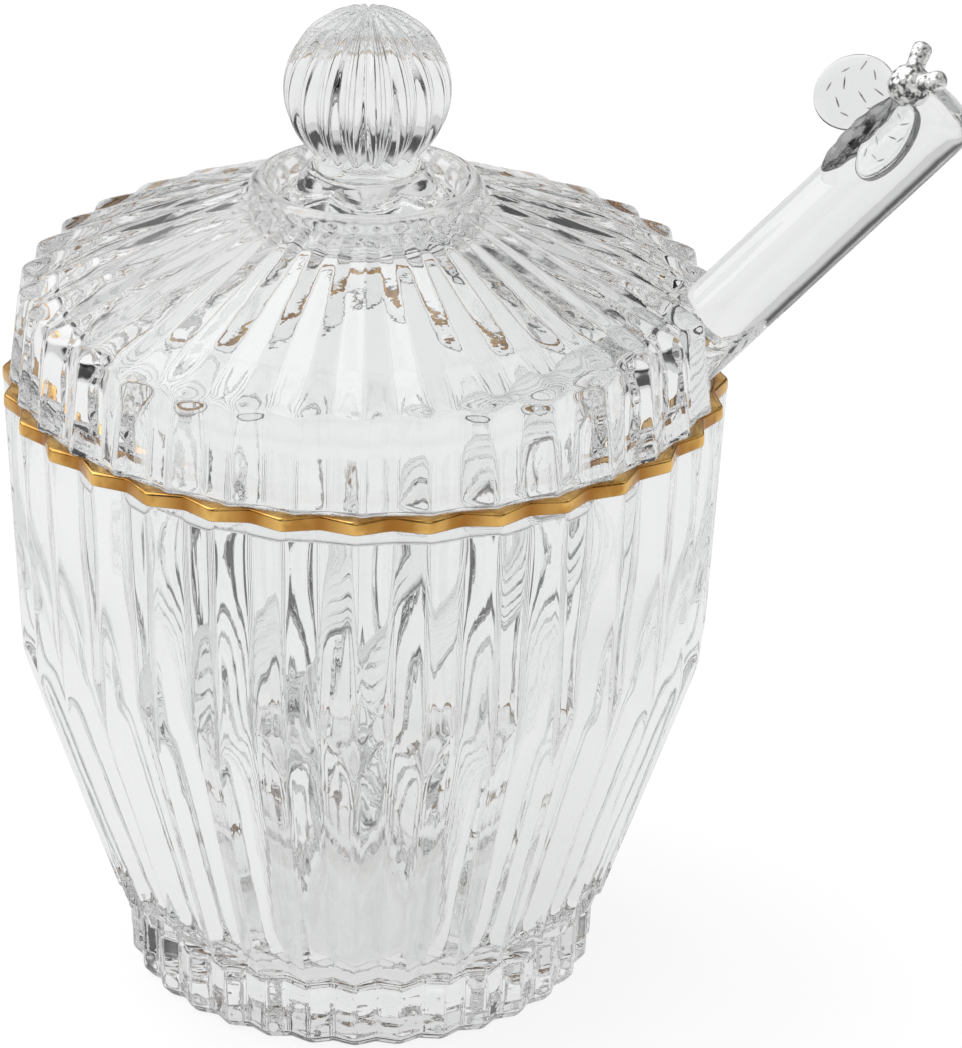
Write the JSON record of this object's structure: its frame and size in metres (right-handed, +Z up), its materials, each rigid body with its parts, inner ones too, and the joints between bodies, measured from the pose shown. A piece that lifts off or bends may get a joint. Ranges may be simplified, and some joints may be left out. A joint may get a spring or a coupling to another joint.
{
  "type": "honey pot with lid and dipper",
  "caption": "Empty fluted clear glass honey pot with a gilt lip, a ribbed lid with a ball knob and a glass dipper that carries a bee.",
  "frame": {"origin": "centre of the flat underside of the jar", "axes": "+Z up along the jar's axis, +X towards the side where the dipper leans out"},
  "size_m": [0.1208, 0.0922, 0.13],
  "materials": {
    "clear_glass": "fire-polished pressed glass",
    "gilding": "burnished gilding",
    "dipper_glass": "smooth drawn glass",
    "silver_metal": "rough-cast silvery metal"
  },
  "bodies": {
    "root": {"jar": "clear_glass", "gilt_rim": "gilding", "lid": "clear_glass", "dipper": "dipper_glass", "bee": "silver_metal"}
  },
  "joints": []
}
